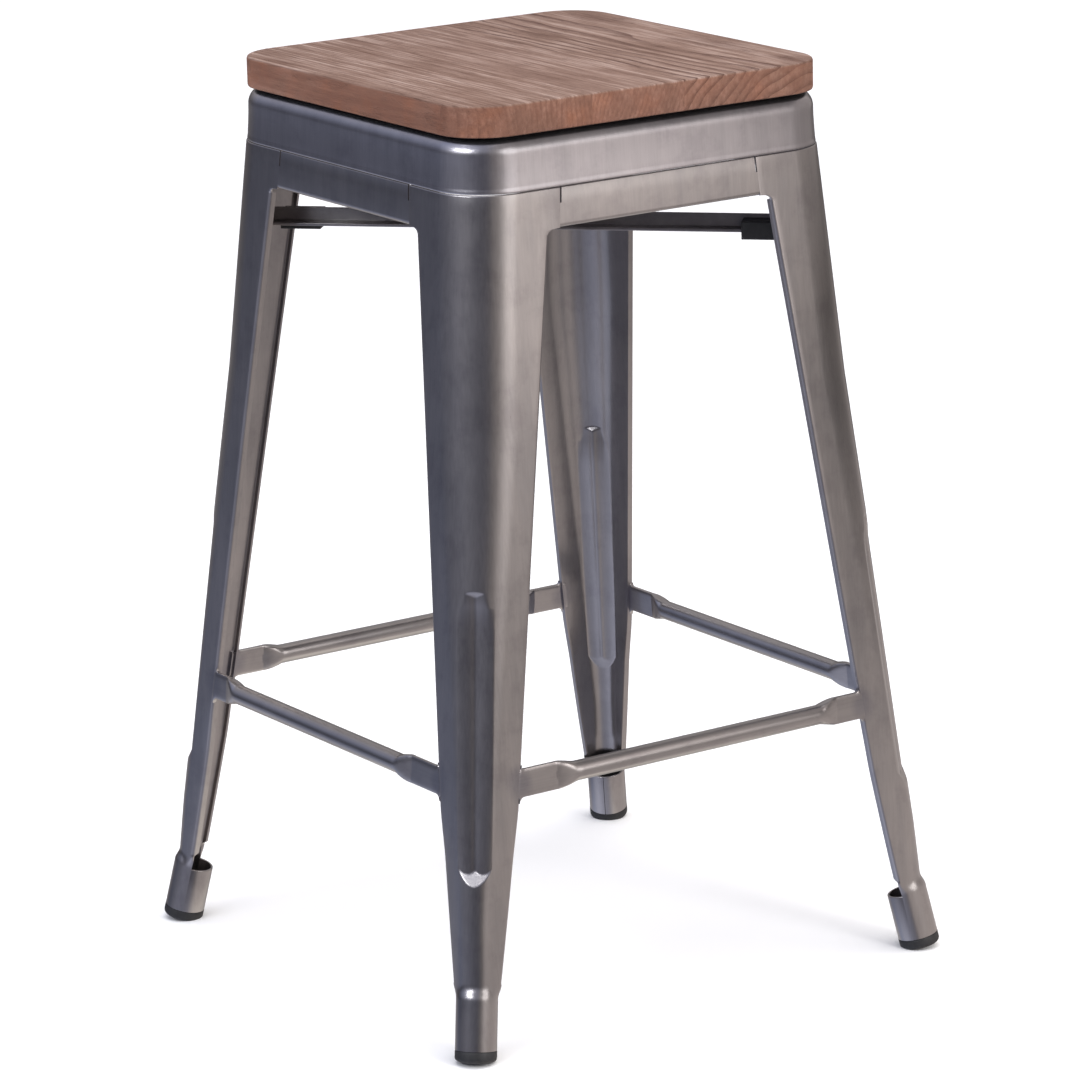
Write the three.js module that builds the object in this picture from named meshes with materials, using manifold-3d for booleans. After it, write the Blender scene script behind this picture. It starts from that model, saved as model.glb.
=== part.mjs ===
// Bar stool with a footrest: four tapered sheet-steel legs around a pressed seat pan, a glued wooden
// seat board, four footrest rails flattened at their ends, and a crossed brace with stacking bumpers.
// Millimetres, +Z up, origin on the floor under the middle of the seat. The stool has four like corners,
// so each corner piece is drawn once for the corner at +X +Y and mirrored to the other three.
import * as THREE from "three";
import { mergeVertices } from "three/addons/utils/BufferGeometryUtils.js";
import Module from "manifold-3d";

const wasm = await Module();
wasm.setup();

// ---- driving dimensions ----
const SEAT_HEIGHT = 610;
const BOARD_HALF = 144;
const BOARD_THICKNESS = 20.5;
const BOARD_CORNER = 34;
const BOARD_EDGE = 1.6;
const STAVE_JOINTS = [-49.5, 22.8]; // glue lines of the seat board, along Y
const GAP = 0.3; // clearance left between touching pieces

const SHEET = 1.5;
const PAN_HALF = 144.8;
const PAN_CORNER = 37;
const PAN_BEND = 9;
const SEAM_HEIGHT = 554; // line between the pan skirt and the leg tops

const FACE_HALF = 146.3; // half width over the leg faces at the seam
const FACE_SPLAY = 0.0805; // outward run of each face per millimetre of drop
const CORNER_RADIUS = 37; // of the upper leg
const KNEE_HEIGHT = 160; // below it the wings narrow faster
const KNEE_RADIUS = 19;
const RADIUS_TAPER = 0.075;
const WING_WIDTH = 37.2; // at the knee
const WING_TAPER = 0.0645;
const FLANGE_DEPTH = 5;
const BEND_RADIUS = 2.2;
const SHOULDER_WIDTH = 69;
const APRON_BOTTOM = 528;
const SHOULDER_FILLET = 3; // where the full width steps back to the wing
const SLIT_HEIGHT = 10;
const SLIT_WIDTH = 0.9;

const GROOVE_TOP = 304;
const GROOVE_BOTTOM = 115;
const GROOVE_WIDTH = 25;
const GROOVE_DEPTH = 4.6;

const FOOT_CENTRE = 183.2; // foot axis from the middle, at the floor
const FOOT_SPLAY = 0.171;
const FOOT_RADIUS = 13.6;
const SOCKET_TOP = 40;
const NECK_TOP = 49;
const GLIDE_HEIGHT = 8.2;
const GLIDE_SINK = 1.9; // how much of the tilted glide's lowest edge the floor facet takes away

const RAIL_HEIGHT = 177.5;
const RAIL_INSET = 0.9; // from the leg face in to the middle of the rail
const RAIL_RADIUS = 6.6;
const RAIL_STRIP_HALF = 9.2;
const RAIL_STRIP_THICKNESS = 3.4;
// Flattened lengths at the two ends of each rail, the counter-clockwise end first.
const RAIL_STRIPS = { back: [22, 24], left: [31, 15.5], front: [20.5, 27.5], right: [27, 22] };
const RAIL_TRANSITION = 19;
const RAIL_END_SLOPE = 0.16; // lean of the leg edge that the strip end is cut to

const BRACE_TOP = 506.5;
const BRACE_WEB = 10.5;
const BRACE_FLANGE = 13;
const BRACE_SHEET = 2;
const BUMPER_LENGTH = 27;
const BUMPER_OUTER_END = 170.5; // along the diagonal from the middle

const SCREW_OFFSET = 78;
const SCREW_RADIUS = 2.1;
const SCREW_HEAD_RADIUS = 4.6;

// ---- derived values ----
const BOARD_BOTTOM = SEAT_HEIGHT - BOARD_THICKNESS;
const PAN_TOP = BOARD_BOTTOM - GAP;
const LEG_TOP = SEAM_HEIGHT - GAP;
const LEG_BOTTOM = 36;
const FOOT_TILT = Math.atan(FOOT_SPLAY * Math.SQRT2);
const faceHalf = (z) => FACE_HALF + FACE_SPLAY * (SEAM_HEIGHT - z);
const footCentre = (z) => FOOT_CENTRE - FOOT_SPLAY * z;

const CORNERS = [
  [-1, -1],
  [1, -1],
  [1, 1],
  [-1, 1],
];
const CORNER_NAMES = ["front_left", "front_right", "back_right", "back_left"];

// ---- materials ----
const rawSteel = { color: 0x8d8a8c, roughness: 0.34, metalness: 0.9 };
const darkSteel = { color: 0x6f6c6e, roughness: 0.42, metalness: 0.85 };
const paleSteel = { color: 0x98938f, roughness: 0.34, metalness: 0.9 };
const elmWood = { color: 0x9c7562, roughness: 0.72, metalness: 0 };
const blackPlastic = { color: 0x2b2b2c, roughness: 0.6, metalness: 0 };
const zincSteel = { color: 0xa9a9a6, roughness: 0.4, metalness: 0.8 };

// ---- mesh helpers ----
function geometryOf(positions, triangles) {
  const geometry = new THREE.BufferGeometry();
  geometry.setAttribute("position", new THREE.Float32BufferAttribute(positions.flat(), 3));
  geometry.setIndex(triangles.flat());
  return geometry;
}

function solidOf(geometry) {
  const bare = geometry.clone();
  bare.deleteAttribute("normal");
  bare.deleteAttribute("uv");
  const merged = mergeVertices(bare, 1e-4);
  return new wasm.Manifold(
    new wasm.Mesh({
      numProp: 3,
      vertProperties: new Float32Array(merged.attributes.position.array),
      triVerts: new Uint32Array(merged.index.array),
    }),
  );
}

function geometryFromSolid(solid) {
  const mesh = solid.getMesh();
  const geometry = new THREE.BufferGeometry();
  geometry.setAttribute("position", new THREE.BufferAttribute(mesh.vertProperties, 3));
  geometry.setIndex(new THREE.BufferAttribute(mesh.triVerts, 1));
  return geometry;
}

function meshOf(name, geometry, finish) {
  const shaded = geometry.index ? geometry.toNonIndexed() : geometry;
  shaded.computeVertexNormals();
  const mesh = new THREE.Mesh(shaded, new THREE.MeshStandardMaterial(finish));
  mesh.name = name;
  return mesh;
}

// A closed skin over rings of equal length, with a flat cap at each end. The rings run counter-clockwise
// seen from the side the last ring faces.
function ringLoft(rings) {
  const count = rings[0].length;
  const positions = rings.flat();
  const triangles = [];
  for (let k = 0; k + 1 < rings.length; k++) {
    for (let i = 0; i < count; i++) {
      const a = k * count + i;
      const b = k * count + ((i + 1) % count);
      triangles.push([a, b, b + count], [a, b + count, a + count]);
    }
  }
  const centre = (ring) => [0, 1, 2].map((axis) => ring.reduce((sum, p) => sum + p[axis], 0) / count);
  const first = positions.push(centre(rings[0])) - 1;
  const last = positions.push(centre(rings[rings.length - 1])) - 1;
  const offset = (rings.length - 1) * count;
  for (let i = 0; i < count; i++) {
    const next = (i + 1) % count;
    triangles.push([first, next, i], [last, offset + i, offset + next]);
  }
  return geometryOf(positions, triangles);
}

// A sheet of metal given by its outer and inner surface, both as stations of the same number of points.
function sheetLoft(outer, inner) {
  const rings = outer.map((path, k) => [...path, ...inner[k].slice().reverse()]);
  const count = rings[0].length;
  const half = outer[0].length;
  const positions = rings.flat();
  const triangles = [];
  for (let k = 0; k + 1 < rings.length; k++) {
    for (let i = 0; i < count; i++) {
      const a = k * count + i;
      const b = k * count + ((i + 1) % count);
      triangles.push([a, b, b + count], [a, b + count, a + count]);
    }
  }
  const end = (rings.length - 1) * count;
  for (let i = 0; i + 1 < half; i++) {
    const p = i;
    const q = i + 1;
    const r = count - 2 - i;
    const s = count - 1 - i;
    triangles.push([p, r, q], [p, s, r], [end + p, end + q, end + r], [end + p, end + r, end + s]);
  }
  return geometryOf(positions, triangles);
}

function roundedSquare(half, radius, z, steps) {
  const ring = [];
  for (let corner = 0; corner < 4; corner++) {
    const cx = (corner === 0 || corner === 3 ? 1 : -1) * (half - radius);
    const cy = (corner < 2 ? 1 : -1) * (half - radius);
    for (let i = 0; i <= steps; i++) {
      const angle = (corner + i / steps) * (Math.PI / 2);
      ring.push([cx + radius * Math.cos(angle), cy + radius * Math.sin(angle), z]);
    }
  }
  return ring;
}

function box(x0, x1, y0, y1, z0, z1) {
  const geometry = new THREE.BoxGeometry(x1 - x0, y1 - y0, z1 - z0);
  geometry.translate((x0 + x1) / 2, (y0 + y1) / 2, (z0 + z1) / 2);
  return geometry;
}

const smooth = (t) => {
  const u = Math.min(1, Math.max(0, t));
  return u * u * (3 - 2 * u);
};

// ---- seat board ----
function boardBlank() {
  const inset = BOARD_EDGE * (1 - Math.SQRT1_2);
  const rings = [
    roundedSquare(BOARD_HALF - BOARD_EDGE, BOARD_CORNER - BOARD_EDGE, BOARD_BOTTOM, 8),
    roundedSquare(BOARD_HALF - inset, BOARD_CORNER - inset, BOARD_BOTTOM + inset, 8),
    roundedSquare(BOARD_HALF, BOARD_CORNER, BOARD_BOTTOM + BOARD_EDGE, 8),
    roundedSquare(BOARD_HALF, BOARD_CORNER, SEAT_HEIGHT - BOARD_EDGE, 8),
    roundedSquare(BOARD_HALF - inset, BOARD_CORNER - inset, SEAT_HEIGHT - inset, 8),
    roundedSquare(BOARD_HALF - BOARD_EDGE, BOARD_CORNER - BOARD_EDGE, SEAT_HEIGHT, 8),
  ];
  return solidOf(ringLoft(rings));
}

function seatBoard() {
  const group = new THREE.Group();
  const blank = boardBlank();
  const edges = [-BOARD_HALF - 1, ...STAVE_JOINTS, BOARD_HALF + 1];
  for (let i = 0; i + 1 < edges.length; i++) {
    const x0 = edges[i] + GAP / 2;
    const x1 = edges[i + 1] - GAP / 2;
    const slab = box(x0, x1, -200, 200, BOARD_BOTTOM - 5, SEAT_HEIGHT + 5);
    let stave = blank.intersect(solidOf(slab));
    for (const [sx, sy] of CORNERS) {
      stave = stave.subtract(solidOf(screwShank(sx, sy, SCREW_RADIUS + GAP)));
    }
    group.add(meshOf(`seat_stave_${i + 1}`, geometryFromSolid(stave), elmWood));
  }
  return group;
}

// ---- seat pan ----
function seatPan() {
  const outer = [];
  const inner = [];
  const step = PAN_CORNER - PAN_BEND;
  outer.push([60, 12, PAN_TOP]);
  for (let i = 0; i <= 4; i++) {
    const angle = (i / 4) * (Math.PI / 2);
    const out = PAN_BEND * (1 - Math.sin(angle));
    outer.push([PAN_HALF - out, step + PAN_BEND - out, PAN_TOP - PAN_BEND * (1 - Math.cos(angle))]);
  }
  const flare = faceHalf(SEAM_HEIGHT) - PAN_HALF;
  outer.push([PAN_HALF, PAN_CORNER, SEAM_HEIGHT + 5.5]);
  outer.push([PAN_HALF + flare * 0.4, PAN_CORNER + flare * 0.4, SEAM_HEIGHT + 3.4]);
  outer.push([PAN_HALF + flare, PAN_CORNER + flare, SEAM_HEIGHT + 1.6]);
  outer.push([PAN_HALF + flare, PAN_CORNER + flare, SEAM_HEIGHT]);
  inner.push([60, 12, PAN_TOP - SHEET]);
  for (let i = 0; i <= 4; i++) {
    const angle = (i / 4) * (Math.PI / 2);
    const bend = PAN_BEND - SHEET;
    const out = SHEET + bend * (1 - Math.sin(angle));
    inner.push([PAN_HALF - out, PAN_CORNER - out, PAN_TOP - SHEET - bend * (1 - Math.cos(angle))]);
  }
  inner.push([PAN_HALF - SHEET, PAN_CORNER - SHEET, SEAM_HEIGHT + 5]);
  inner.push([PAN_HALF - SHEET + flare * 0.4, PAN_CORNER - SHEET + flare * 0.4, SEAM_HEIGHT + 2.9]);
  inner.push([PAN_HALF - SHEET + flare, PAN_CORNER - SHEET + flare, SEAM_HEIGHT]);
  const profile = [...outer, ...inner.reverse()];
  const rings = profile.map(([half, radius, z]) => roundedSquare(half, radius, z, 7));
  let pan = solidOf(ringLoft(rings.reverse()));
  for (const [sx, sy] of CORNERS) {
    pan = pan.subtract(solidOf(screwShank(sx, sy, SCREW_RADIUS + 0.5)));
  }
  return meshOf("seat_pan", geometryFromSolid(pan), rawSteel);
}

// ---- screws that hold the board to the pan, driven from below ----
function screwShank(sx, sy, radius) {
  const bottom = PAN_TOP - SHEET - 0.5;
  const geometry = new THREE.CylinderGeometry(radius, radius, 17.5, 12);
  geometry.rotateX(Math.PI / 2);
  geometry.translate(sx * SCREW_OFFSET, sy * SCREW_OFFSET, bottom + 17.5 / 2);
  return geometry;
}

function screw(name, sx, sy) {
  const profile = [
    [0, -3.4],
    [2.6, -3],
    [4.1, -1.9],
    [SCREW_HEAD_RADIUS, -0.7],
    [SCREW_HEAD_RADIUS, 0],
    [SCREW_RADIUS, 0],
    [SCREW_RADIUS, 13],
    [0, 17],
  ].map(([x, y]) => new THREE.Vector2(x, y));
  const geometry = new THREE.LatheGeometry(profile, 14);
  const cross = [box(-2.4, 2.4, -0.45, 0.45, -4, -2), box(-0.45, 0.45, -2.4, 2.4, -4, -2)];
  geometry.rotateX(Math.PI / 2);
  let body = solidOf(geometry);
  for (const slot of cross) {
    body = body.subtract(solidOf(slot));
  }
  const mesh = meshOf(name, geometryFromSolid(body), zincSteel);
  mesh.position.set(sx * SCREW_OFFSET, sy * SCREW_OFFSET, PAN_TOP - SHEET - GAP);
  return mesh;
}

// ---- legs ----
// Width of each wing, measured from the sharp corner of the two faces.
function wingWidth(z) {
  if (z >= APRON_BOTTOM) return SHOULDER_WIDTH;
  const straight = WING_WIDTH + WING_TAPER * (z - KNEE_HEIGHT);
  if (z > APRON_BOTTOM - SHOULDER_FILLET) {
    const t = (z - APRON_BOTTOM + SHOULDER_FILLET) / SHOULDER_FILLET;
    return straight + (SHOULDER_WIDTH - straight) * (1 - Math.sqrt(Math.max(0, 1 - t * t)));
  }
  if (z > KNEE_HEIGHT) return straight;
  return WING_WIDTH - 0.1 * (KNEE_HEIGHT - z) - 0.00014 * (KNEE_HEIGHT - z) ** 2;
}

function cornerRadius(z) {
  const radius = KNEE_RADIUS + RADIUS_TAPER * (z - KNEE_HEIGHT);
  return Math.min(CORNER_RADIUS, Math.max(FOOT_RADIUS, radius));
}

function flangeDepth(z) {
  if (z > APRON_BOTTOM - SHOULDER_FILLET - 0.5) return SHEET + 0.5;
  if (z < 60) return FLANGE_DEPTH - 2 * smooth((60 - z) / 20);
  return FLANGE_DEPTH;
}

// Depth of the pressed groove at height z and at distance s along the corner arc from its middle.
function grooveDepth(z, s) {
  const window = smooth((GROOVE_TOP - z) / 9) * smooth((z - GROOVE_BOTTOM) / 11);
  const across = Math.max(0, 1 - Math.abs(s) / (GROOVE_WIDTH / 2));
  return GROOVE_DEPTH * window * (across < 0.2 ? across * across * 2.5 : across - 0.1) * 1.1;
}

// One surface of the leg in the plane z, from the free edge of one wing round to the other.
// inset is 0 on the outside and the sheet thickness on the inside.
function legPath(z, inset, arcSteps) {
  const neck = smooth((NECK_TOP - z) / (NECK_TOP - SOCKET_TOP));
  const planeHalf = faceHalf(z) + (footCentre(z) + FOOT_RADIUS - faceHalf(z)) * neck;
  const radius = cornerRadius(z);
  const edge = faceHalf(z) - wingWidth(z);
  const depth = flangeDepth(z);
  const centre = planeHalf - radius;
  const bend = Math.max(0.3, Math.min(BEND_RADIUS, depth - 0.6) - inset);
  const wing = [[edge + inset, planeHalf - depth]];
  for (let i = 0; i <= 2; i++) {
    const angle = Math.PI - (i / 2) * (Math.PI / 2);
    wing.push([
      edge + inset + bend + bend * Math.cos(angle),
      planeHalf - inset - bend + bend * Math.sin(angle),
    ]);
  }
  const arc = [];
  for (let i = 0; i <= arcSteps; i++) {
    const angle = (Math.PI / 2) * (1 - i / arcSteps);
    const s = radius * (angle - Math.PI / 4);
    const r = radius - inset - grooveDepth(z, s);
    arc.push([centre + r * Math.cos(angle), centre + r * Math.sin(angle)]);
  }
  const mirrored = wing.map(([x, y]) => [y, x]).reverse();
  return [...wing, ...arc, ...mirrored].map(([x, y]) => [x, y, z]);
}

const LEG_STATIONS = [
  LEG_TOP, 540, ...[1, 0.96, 0.85, 0.7, 0.5, 0.25, 0].map((t) => APRON_BOTTOM - SHOULDER_FILLET * (1 - t)),
  521, 480, 400, 330, 307, 302, 296, 250, 200, 150, 128, 122, 116, 110, 92, 72, 56, 50, 45, 40, LEG_BOTTOM,
];

function legShell() {
  const outer = LEG_STATIONS.map((z) => legPath(z, 0, 14));
  const inner = LEG_STATIONS.map((z) => legPath(z, SHEET, 14));
  return solidOf(sheetLoft(outer, inner));
}

// The rolled socket at the foot of the leg, along its own axis, with its open seam towards the middle.
function footSocket() {
  const steps = 26;
  const seam = 0.05;
  const low = GLIDE_HEIGHT + GAP;
  const high = SOCKET_TOP / Math.cos(FOOT_TILT);
  const outer = [];
  const inner = [];
  for (const axial of [high, low]) {
    const outerPath = [];
    const innerPath = [];
    for (let i = 0; i <= steps; i++) {
      const angle = Math.PI - seam - (i / steps) * (2 * Math.PI - 2 * seam);
      outerPath.push([FOOT_RADIUS * Math.cos(angle), FOOT_RADIUS * Math.sin(angle), axial]);
      const r = FOOT_RADIUS - SHEET;
      innerPath.push([r * Math.cos(angle), r * Math.sin(angle), axial]);
    }
    outer.push(outerPath);
    inner.push(innerPath);
  }
  const geometry = sheetLoft(outer, inner);
  placeOnFootAxis(geometry);
  return solidOf(geometry);
}

// Turns a piece drawn about Z, with its +X side outwards, onto the splayed axis of the foot.
function placeOnFootAxis(geometry) {
  geometry.rotateY(-FOOT_TILT);
  geometry.rotateZ(Math.PI / 4);
  geometry.translate(FOOT_CENTRE, FOOT_CENTRE, 0);
}

function legSolid() {
  return legShell().add(footSocket());
}

function glideSolid() {
  const lip = FOOT_RADIUS + 0.1;
  const stem = FOOT_RADIUS - SHEET - GAP;
  const lift = Math.tan(FOOT_TILT) * (lip - 3) - GLIDE_SINK;
  const profile = [
    [0, lift - 0.4],
    [lip - 5, lift - 0.2],
    [lip - 2.8, lift + 0.3],
    [lip - 1, lift + 1.4],
    [lip, lift + 3.2],
    [lip, GLIDE_HEIGHT],
    [stem, GLIDE_HEIGHT],
    [stem, GLIDE_HEIGHT + 13],
    [stem - 1.5, GLIDE_HEIGHT + 15],
    [0, GLIDE_HEIGHT + 15],
  ].map(([x, y]) => new THREE.Vector2(x, y));
  const geometry = new THREE.LatheGeometry(profile, 26);
  geometry.rotateX(Math.PI / 2);
  placeOnFootAxis(geometry);
  return solidOf(geometry).subtract(solidOf(box(0, 400, 0, 400, -30, 0)));
}

// ---- apron panels between the legs ----
function apronSolid() {
  const drop = LEG_TOP - APRON_BOTTOM;
  const endAt = (z) => faceHalf(z) - SHOULDER_WIDTH - GAP;
  const section = [
    [0, LEG_TOP],
    [0, APRON_BOTTOM + 3],
    [0.9, APRON_BOTTOM + 0.9],
    [3, APRON_BOTTOM],
    [6, APRON_BOTTOM],
  ];
  const innerSection = [
    [SHEET, LEG_TOP],
    [SHEET, APRON_BOTTOM + 3.2],
    [1.9, APRON_BOTTOM + 1.9],
    [3.2, APRON_BOTTOM + SHEET],
    [6, APRON_BOTTOM + SHEET],
  ];
  const path = (points, side) => points.map(([inset, z]) => [side * endAt(z), faceHalf(z) - inset, z]);
  const geometry = sheetLoft(
    [path(section, 1), path(section, -1)],
    [path(innerSection, 1), path(innerSection, -1)],
  );
  let panel = solidOf(geometry);
  const slitEnd = drop - SLIT_HEIGHT + APRON_BOTTOM;
  for (const side of [-1, 1]) {
    const x = side * (endAt(LEG_TOP) + 0.5);
    const notch = box(x - SLIT_WIDTH, x + SLIT_WIDTH, 100, 200, slitEnd, LEG_TOP + 5);
    panel = panel.subtract(solidOf(notch));
  }
  return panel;
}

// ---- footrest rails ----
// Cross-section of the rail at distance u past its flat strip, where it blends to the round tube.
function railSection(u) {
  const t = smooth(u / RAIL_TRANSITION);
  const steps = 16;
  const halfDepth = RAIL_STRIP_THICKNESS / 2 + (RAIL_RADIUS - RAIL_STRIP_THICKNESS / 2) * t;
  const halfHeight = RAIL_STRIP_HALF + (RAIL_RADIUS - RAIL_STRIP_HALF) * t;
  const power = 4 - 2 * t;
  const ring = [];
  for (let i = 0; i < steps; i++) {
    const angle = ((i + 0.5) / steps) * 2 * Math.PI;
    const c = Math.cos(angle);
    const s = Math.sin(angle);
    const scale = (Math.abs(c) ** power + Math.abs(s) ** power) ** (-1 / power);
    ring.push([halfDepth * c * scale, halfHeight * s * scale]);
  }
  return ring;
}

// A rail along X at the +Y side. strips holds the flattened lengths at its -X and +X ends.
function railSolid(strips) {
  const end = faceHalf(RAIL_HEIGHT) - wingWidth(RAIL_HEIGHT) - GAP;
  const plane = faceHalf(RAIL_HEIGHT) - RAIL_INSET;
  const lean = Math.atan(FACE_SPLAY);
  const blend = [0, 0.25, 0.5, 0.75, 1].map((t) => t * RAIL_TRANSITION);
  const ringAt = (x, past, cut) =>
    railSection(past).map(([d, h]) => {
      const y = plane + d * Math.cos(lean) - h * Math.sin(lean);
      return [x - h * cut, y, RAIL_HEIGHT + h * Math.cos(lean) + d * Math.sin(lean)];
    });
  const [low, high] = strips;
  const rings = [ringAt(-end, 0, -RAIL_END_SLOPE)];
  for (const u of blend) {
    rings.push(ringAt(low + u - end, u, 0));
  }
  for (const u of blend.slice().reverse()) {
    rings.push(ringAt(end - high - u, u, 0));
  }
  rings.push(ringAt(end, 0, RAIL_END_SLOPE));
  return solidOf(ringLoft(rings));
}

// ---- crossed brace under the seat ----
// An angle bar along X from x0 to x1, flange towards -Y, later turned onto a diagonal.
function braceBar(x0, x1) {
  const outline = new THREE.Shape();
  const points = [
    [0, BRACE_TOP],
    [0, BRACE_TOP - BRACE_WEB + 1.5],
    [-0.5, BRACE_TOP - BRACE_WEB + 0.4],
    [-1.6, BRACE_TOP - BRACE_WEB],
    [-BRACE_FLANGE, BRACE_TOP - BRACE_WEB],
    [-BRACE_FLANGE, BRACE_TOP - BRACE_WEB + BRACE_SHEET],
    [-BRACE_SHEET, BRACE_TOP - BRACE_WEB + BRACE_SHEET],
    [-BRACE_SHEET, BRACE_TOP],
  ];
  points.forEach(([y, z], i) => (i ? outline.lineTo(y, z) : outline.moveTo(y, z)));
  const geometry = new THREE.ExtrudeGeometry(outline, { depth: x1 - x0, bevelEnabled: false });
  geometry.rotateX(Math.PI / 2);
  geometry.rotateZ(Math.PI / 2);
  geometry.translate(x0, 0, 0);
  return geometry;
}

function braceReach(z) {
  const corner = faceHalf(z) * Math.SQRT2 - cornerRadius(z) * (Math.SQRT2 - 1);
  return corner - SHEET - GAP - 2.8;
}

function brace() {
  const group = new THREE.Group();
  const reach = braceReach(BRACE_TOP);
  const bars = [
    ["brace_bar_full", -reach, reach, -Math.PI / 4],
    ["brace_bar_front", -reach, -BRACE_FLANGE - GAP, Math.PI / 4],
    ["brace_bar_back", GAP, reach, Math.PI / 4],
  ];
  for (const [name, x0, x1, turn] of bars) {
    const bar = meshOf(name, braceBar(x0, x1), darkSteel);
    bar.rotation.z = turn;
    group.add(bar);
  }
  return group;
}

// A moulded block pushed onto the flange of the brace bar, drawn on a bar along X at its outer end.
function bumperSolid() {
  const low = BRACE_TOP - BRACE_WEB;
  const block = solidOf(roundedBlock(-BRACE_FLANGE - 3, 3, low - 4.5, BRACE_TOP - 2.5));
  const behindWeb = box(-200, 200, -BRACE_SHEET - GAP, 50, low - GAP, BRACE_TOP + 20);
  const flangeSlot = box(-200, 200, -BRACE_FLANGE - GAP, 0, low - GAP, low + BRACE_SHEET + GAP);
  return block.subtract(solidOf(behindWeb)).subtract(solidOf(flangeSlot));
}

function roundedBlock(y0, y1, z0, z1) {
  const shape = new THREE.Shape();
  const r = 1.6;
  shape.moveTo(y0 + r, z0);
  shape.lineTo(y1 - r, z0);
  shape.quadraticCurveTo(y1, z0, y1, z0 + r);
  shape.lineTo(y1, z1 - r);
  shape.quadraticCurveTo(y1, z1, y1 - r, z1);
  shape.lineTo(y0 + r, z1);
  shape.quadraticCurveTo(y0, z1, y0, z1 - r);
  shape.lineTo(y0, z0 + r);
  shape.quadraticCurveTo(y0, z0, y0 + r, z0);
  const options = { depth: BUMPER_LENGTH, bevelEnabled: false, curveSegments: 3 };
  const geometry = new THREE.ExtrudeGeometry(shape, options);
  geometry.rotateX(Math.PI / 2);
  geometry.rotateZ(Math.PI / 2);
  geometry.translate(BUMPER_OUTER_END - BUMPER_LENGTH, 0, 0);
  return geometry;
}

// ---- assembly ----
function mirroredGeometry(solid, sx, sy) {
  const scale = new THREE.Matrix4().makeScale(sx, sy, 1);
  const geometry = geometryFromSolid(solid).applyMatrix4(scale);
  if (sx * sy < 0) {
    const index = geometry.index.array;
    for (let i = 0; i < index.length; i += 3) {
      [index[i + 1], index[i + 2]] = [index[i + 2], index[i + 1]];
    }
  }
  return geometry;
}

function stool() {
  const root = new THREE.Group();
  root.add(seatBoard(), seatPan());
  const leg = legSolid();
  const glide = glideSolid();
  CORNERS.forEach(([sx, sy], i) => {
    root.add(meshOf(`leg_${CORNER_NAMES[i]}`, mirroredGeometry(leg, sx, sy), rawSteel));
    root.add(meshOf(`glide_${CORNER_NAMES[i]}`, mirroredGeometry(glide, sx, sy), blackPlastic));
    root.add(screw(`seat_screw_${CORNER_NAMES[i]}`, sx, sy));
  });
  const apron = geometryFromSolid(apronSolid());
  ["back", "left", "front", "right"].forEach((side, i) => {
    const panel = meshOf(`apron_${side}`, apron, paleSteel);
    const rail = geometryFromSolid(railSolid(RAIL_STRIPS[side]));
    const tube = meshOf(`footrest_rail_${side}`, rail, rawSteel);
    panel.rotation.z = (i * Math.PI) / 2;
    tube.rotation.z = (i * Math.PI) / 2;
    root.add(panel, tube);
  });
  root.add(brace());
  const bumper = geometryFromSolid(bumperSolid());
  ["front_right", "back_right", "back_left", "front_left"].forEach((corner, i) => {
    const block = meshOf(`bumper_${corner}`, bumper, blackPlastic);
    block.rotation.z = -Math.PI / 4 + (i * Math.PI) / 2;
    root.add(block);
  });
  return root;
}

export default stool();
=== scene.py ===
import math

import bpy
import numpy as np
from mathutils import Matrix, Vector


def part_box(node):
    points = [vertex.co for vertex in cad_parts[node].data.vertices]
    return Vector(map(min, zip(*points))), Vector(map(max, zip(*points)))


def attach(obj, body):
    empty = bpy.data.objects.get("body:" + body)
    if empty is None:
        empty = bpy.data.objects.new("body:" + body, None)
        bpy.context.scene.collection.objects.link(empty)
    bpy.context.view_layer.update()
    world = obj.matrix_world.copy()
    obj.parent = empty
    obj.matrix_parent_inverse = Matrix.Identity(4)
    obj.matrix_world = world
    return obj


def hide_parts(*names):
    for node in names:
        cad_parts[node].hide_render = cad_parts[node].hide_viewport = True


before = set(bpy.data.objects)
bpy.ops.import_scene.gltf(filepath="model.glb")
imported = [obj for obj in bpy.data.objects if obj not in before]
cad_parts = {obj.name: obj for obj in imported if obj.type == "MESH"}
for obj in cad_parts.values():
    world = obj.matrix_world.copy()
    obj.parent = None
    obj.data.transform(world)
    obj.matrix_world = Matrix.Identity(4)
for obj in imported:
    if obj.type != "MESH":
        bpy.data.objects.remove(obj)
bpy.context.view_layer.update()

# ---- sizes that the frame gives, in metres ----
SEAT_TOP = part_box("seat_stave_1")[1].z
BOARD_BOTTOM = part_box("seat_stave_1")[0].z
BOARD_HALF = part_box("seat_stave_3")[1].x
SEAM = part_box("seat_pan")[0].z
SEAM_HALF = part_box("seat_pan")[1].x
PAN_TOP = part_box("seat_pan")[1].z
APRON_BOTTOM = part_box("apron_front")[0].z
SHOULDER_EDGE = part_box("leg_back_right")[0].x
LEG_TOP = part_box("leg_back_right")[1].z
BRACE_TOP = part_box("brace_bar_full")[1].z
BRACE_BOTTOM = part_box("brace_bar_full")[0].z
RAIL_LOW, RAIL_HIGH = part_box("footrest_rail_front")
RAIL_HEIGHT = (RAIL_LOW.z + RAIL_HIGH.z) / 2
JOINTS = [
    (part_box("seat_stave_1")[1].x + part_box("seat_stave_2")[0].x) / 2,
    (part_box("seat_stave_2")[1].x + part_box("seat_stave_3")[0].x) / 2,
]

# ---- shape constants, in metres ----
MM = 0.001
SHEET = 1.5 * MM
FACE_SPLAY = 0.0805  # outward run of each leg face per metre of drop

BOARD_CORNER = 34 * MM
BOARD_EDGE = 1.6 * MM

PAN_HALF = 144.8 * MM
PAN_CORNER = 37 * MM
PAN_BEND = 11 * MM  # radius of the rounded top edge
SKIRT_LEAN = 0.72  # share of the flare that the skirt takes up before the step
STEP_TOP = 4.2 * MM  # the step over the leg tops, measured up from the seam
STEP_BOTTOM = 0.8 * MM

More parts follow.
